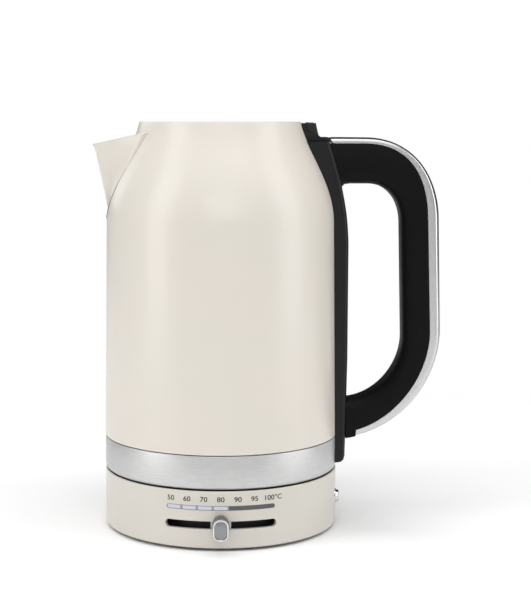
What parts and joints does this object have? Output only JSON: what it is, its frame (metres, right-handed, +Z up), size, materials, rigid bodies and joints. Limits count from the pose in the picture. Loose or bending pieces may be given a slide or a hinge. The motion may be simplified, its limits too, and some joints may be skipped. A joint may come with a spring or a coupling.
{
  "type": "electric kettle",
  "caption": "Cordless electric kettle: cream double-walled jug with V spout, D handle and hinged lid, on a round power base with a temperature slider.",
  "frame": {"origin": "centre of the face that the power base stands on", "axes": "+Z up along the jug's axis, +X towards the handle, -Y towards the temperature scale on the front"},
  "size_m": [0.2325, 0.1696, 0.2705],
  "materials": {
    "cream_plastic": "satin moulded plastic, cream",
    "black_plastic": "fine matt moulded plastic",
    "spine_plastic": "satin moulded plastic",
    "grip_rubber": "soft-touch coating",
    "brass": "plain",
    "copper_contact": "copper-coloured spring strip",
    "grey_plastic": "plain",
    "polished_steel": "polished",
    "rubber": "matt",
    "screw_steel": "plain",
    "board_green": "solder mask",
    "component_blue": "moulded",
    "component_dark": "moulded",
    "light_lens": "smoked lens, four of the seven segments lit",
    "chrome": "bright",
    "white_plastic": "plain",
    "lead_cover": "insulated leads",
    "satin_knob": "satin with a bright bevel",
    "body_enamel": "cream pearl enamel, gloss",
    "brushed_steel": "brushed round the ring",
    "vessel_steel": "fine satin",
    "aluminium": "plain",
    "element_steel": "heat darkened",
    "clear_plastic": "clear moulded plastic",
    "strip_aluminium": "brushed along the handle",
    "seal_silicone": "translucent silicone"
  },
  "bodies": {
    "base": {"base_housing": "cream_plastic", "base_top_plate": "black_plastic", "connector_plug": "black_plastic", "plug_contacts": "brass", "earth_contact": "copper_contact", "contact_block": "grey_plastic", "rest_pins": "polished_steel", "base_cover": "black_plastic", "foot_ring": "rubber", "cover_screws": "screw_steel", "control_board": "board_green", "relay": "component_blue", "capacitor": "component_dark", "led_board": "board_green", "light_bar": "light_lens", "slide_track": "black_plastic", "power_bezel": "chrome", "power_switch": "component_dark", "lead_gland": "rubber", "terminal_block": "white_plastic", "plug_leads": "lead_cover"},
    "temperature_slider": {"temperature_knob": "satin_knob", "knob_face": "satin_knob", "knob_carriage": "white_plastic"},
    "power_key": {"power_button": "chrome", "button_plunger": "white_plastic"},
    "jug_socket": {"jug_socket": "black_plastic", "socket_contacts": "brass"},
    "jug": {"outer_shell": "body_enamel", "steel_ring": "brushed_steel", "jug_cover": "black_plastic", "jug_screws": "screw_steel", "inner_vessel": "vessel_steel", "heater_plate": "aluminium", "heating_element": "element_steel", "temperature_sensor": "polished_steel", "dry_boil_switch": "component_dark", "spout": "body_enamel", "pour_duct": "black_plastic", "neck_collar": "black_plastic", "spine": "spine_plastic", "hinge_block": "spine_plastic", "water_window": "clear_plastic", "window_gasket": "rubber", "handle_core": "component_dark", "handle_grip": "grip_rubber", "handle_strip": "strip_aluminium", "handle_screws": "screw_steel", "hinge_pin": "polished_steel", "hinge_spring": "screw_steel"},
    "filter": {"filter_frame": "white_plastic", "filter_mesh": "vessel_steel"},
    "lid": {"lid_cover": "body_enamel", "lid_frame": "black_plastic", "lid_liner": "vessel_steel", "lid_seal": "seal_silicone"},
    "lid_key": {"lid_button": "satin_knob", "button_spring": "screw_steel"},
    "latch": {"lid_latch": "black_plastic"}
  },
  "joints": [
    {"name": "jug_lift", "type": "slide", "parent": "base", "child": "jug_socket", "axis": [0, 0, 1], "range_m": [0, 0.051]},
    {"name": "jug_turn", "type": "hinge", "parent": "jug_socket", "child": "jug", "pos_m": [0, 0, 0.0395], "axis": [0, 0, 1], "continuous": true},
    {"name": "lid_hinge", "type": "hinge", "parent": "jug", "child": "lid", "pos_m": [0.051, 0, 0.2664], "axis": [0, 1, 0], "range_deg": [0, 75]},
    {"name": "lid_button_press", "type": "slide", "parent": "jug", "child": "lid_key", "axis": [0, 0, -1], "range_m": [0, 0.002], "stiffness_N_per_m": 600, "springref_m": -0.0005, "deforming": ["button_spring"]},
    {"name": "latch_slide", "type": "slide", "parent": "jug", "child": "latch", "axis": [1, 0, 0], "range_m": [0, 0.002]},
    {"name": "filter_slide", "type": "slide", "parent": "jug", "child": "filter", "axis": [1, 0, 0], "range_m": [0, 0.012]},
    {"name": "temperature_slide", "type": "hinge", "parent": "base", "child": "temperature_slider", "pos_m": [0, 0, 0.01716], "axis": [0, 0, 1], "range_deg": [-24, 24]},
    {"name": "power_press", "type": "slide", "parent": "base", "child": "power_key", "axis": [-0.9903, 0.1392, 0], "range_m": [0, 0.0015], "stiffness_N_per_m": 500, "springref_m": -0.0004}
  ],
  "couplings": [
    {"joint": "latch_slide", "follows": "lid_button_press", "ratio": 1}
  ]
}
